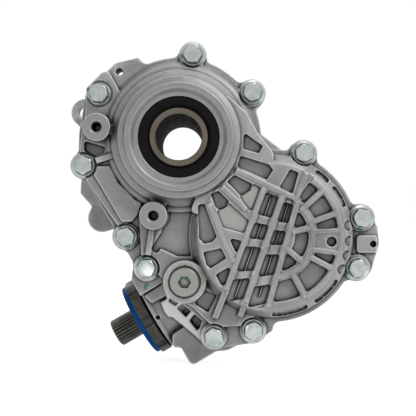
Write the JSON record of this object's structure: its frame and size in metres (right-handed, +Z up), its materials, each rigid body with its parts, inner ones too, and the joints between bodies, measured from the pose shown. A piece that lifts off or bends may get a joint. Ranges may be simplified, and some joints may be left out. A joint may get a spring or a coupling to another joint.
{
  "type": "transfer case",
  "caption": "Transfer case: ribbed cast cover and case around a helical pair, a hypoid pair, taper bearings, a hollow input shaft for the half shaft, and a splined output at 30 degrees.",
  "frame": {"origin": "on the input (half-shaft) axis, in the face that bolts to the gearbox", "axes": "+Y along the input axis towards the gearbox, +Z up and +X to the right when looking at the cover"},
  "size_m": [0.2911, 0.155, 0.2956],
  "materials": {
    "cast_aluminium": "as-cast aluminium, blasted, with bright machined faces",
    "zinc_steel": "bright zinc plated",
    "copper": "soft copper",
    "black_rubber": "black seal rubber",
    "blue_rubber": "blue seal rubber",
    "dark_steel": "dark phosphated steel",
    "gear_steel": "ground case-hardened steel",
    "machined_steel": "turned steel",
    "bearing_steel": "ground bearing steel",
    "black_plastic": "moulded cap"
  },
  "bodies": {
    "housing": {"front_cover": "cast_aluminium", "rear_housing": "cast_aluminium", "cover_bolts": "zinc_steel", "cover_dowels": "machined_steel", "fill_plug": "zinc_steel", "fill_plug_washer": "copper", "drain_plug": "zinc_steel", "drain_plug_washer": "copper", "breather": "black_plastic", "half_shaft_seal_case": "machined_steel", "half_shaft_seal_lip": "black_rubber", "input_shim": "bearing_steel", "input_front_cup": "bearing_steel", "input_rear_cup": "bearing_steel", "gearbox_seal": "black_rubber", "spigot_o_ring": "black_rubber", "transfer_shim": "bearing_steel", "transfer_front_cup": "bearing_steel", "transfer_rear_cup": "bearing_steel", "cup_spacer": "machined_steel", "pinion_head_cup": "bearing_steel", "pinion_tail_cup": "bearing_steel", "nose_ring_nut": "dark_steel", "nose_washer": "black_rubber", "nose_seal": "blue_rubber"},
    "input": {"input_shaft": "machined_steel", "input_gear": "gear_steel", "input_front_cone": "bearing_steel", "input_rear_cone": "bearing_steel", "shaft_snap_ring": "machined_steel"},
    "transfer": {"transfer_shaft": "machined_steel", "driven_gear": "gear_steel", "ring_gear": "gear_steel", "ring_gear_screws": "dark_steel", "transfer_front_cone": "bearing_steel", "transfer_rear_cone": "bearing_steel"},
    "pinion": {"pinion_shaft": "dark_steel", "pinion_shim": "bearing_steel", "pinion_spacer": "machined_steel", "pinion_lock_nut": "machined_steel", "pinion_head_cone": "bearing_steel", "pinion_tail_cone": "bearing_steel"},
    "input_front_roller_set": {"input_front_rollers": "bearing_steel"},
    "input_rear_roller_set": {"input_rear_rollers": "bearing_steel"},
    "transfer_front_roller_set": {"transfer_front_rollers": "bearing_steel"},
    "transfer_rear_roller_set": {"transfer_rear_rollers": "bearing_steel"},
    "pinion_head_roller_set": {"pinion_head_rollers": "bearing_steel"},
    "pinion_tail_roller_set": {"pinion_tail_rollers": "bearing_steel"}
  },
  "joints": [
    {"name": "transfer_spin", "type": "hinge", "parent": "housing", "child": "transfer", "pos_m": [0.083, -0.08, -0.0877], "axis": [0, 1, 0], "continuous": true},
    {"name": "input_spin", "type": "hinge", "parent": "housing", "child": "input", "pos_m": [0, -0.08, 0], "axis": [0, 1, 0], "continuous": true},
    {"name": "pinion_spin", "type": "hinge", "parent": "housing", "child": "pinion", "pos_m": [0.00165, -0.0405, -0.14679], "axis": [-0.866, 0, -0.5], "continuous": true},
    {"name": "input_front_rollers_spin", "type": "hinge", "parent": "housing", "child": "input_front_roller_set", "pos_m": [0, -0.1, 0], "axis": [0, 1, 0], "continuous": true},
    {"name": "input_rear_rollers_spin", "type": "hinge", "parent": "housing", "child": "input_rear_roller_set", "pos_m": [0, -0.06, 0], "axis": [0, 1, 0], "continuous": true},
    {"name": "transfer_front_rollers_spin", "type": "hinge", "parent": "housing", "child": "transfer_front_roller_set", "pos_m": [0.083, -0.1, -0.0877], "axis": [0, 1, 0], "continuous": true},
    {"name": "transfer_rear_rollers_spin", "type": "hinge", "parent": "housing", "child": "transfer_rear_roller_set", "pos_m": [0.083, -0.03, -0.0877], "axis": [0, 1, 0], "continuous": true},
    {"name": "pinion_head_rollers_spin", "type": "hinge", "parent": "housing", "child": "pinion_head_roller_set", "pos_m": [0.0233, -0.0405, -0.13429], "axis": [-0.866, 0, -0.5], "continuous": true},
    {"name": "pinion_tail_rollers_spin", "type": "hinge", "parent": "housing", "child": "pinion_tail_roller_set", "pos_m": [-0.01134, -0.0405, -0.15429], "axis": [-0.866, 0, -0.5], "continuous": true}
  ],
  "couplings": [
    {"joint": "input_spin", "follows": "transfer_spin", "ratio": -1.0213},
    {"joint": "pinion_spin", "follows": "transfer_spin", "ratio": 2.6154},
    {"joint": "input_front_rollers_spin", "follows": "transfer_spin", "ratio": -0.45764},
    {"joint": "input_rear_rollers_spin", "follows": "transfer_spin", "ratio": -0.45764},
    {"joint": "transfer_front_rollers_spin", "follows": "transfer_spin", "ratio": 0.42522},
    {"joint": "transfer_rear_rollers_spin", "follows": "transfer_spin", "ratio": 0.42522},
    {"joint": "pinion_head_rollers_spin", "follows": "transfer_spin", "ratio": 1.1619},
    {"joint": "pinion_tail_rollers_spin", "follows": "transfer_spin", "ratio": 1.1619}
  ]
}
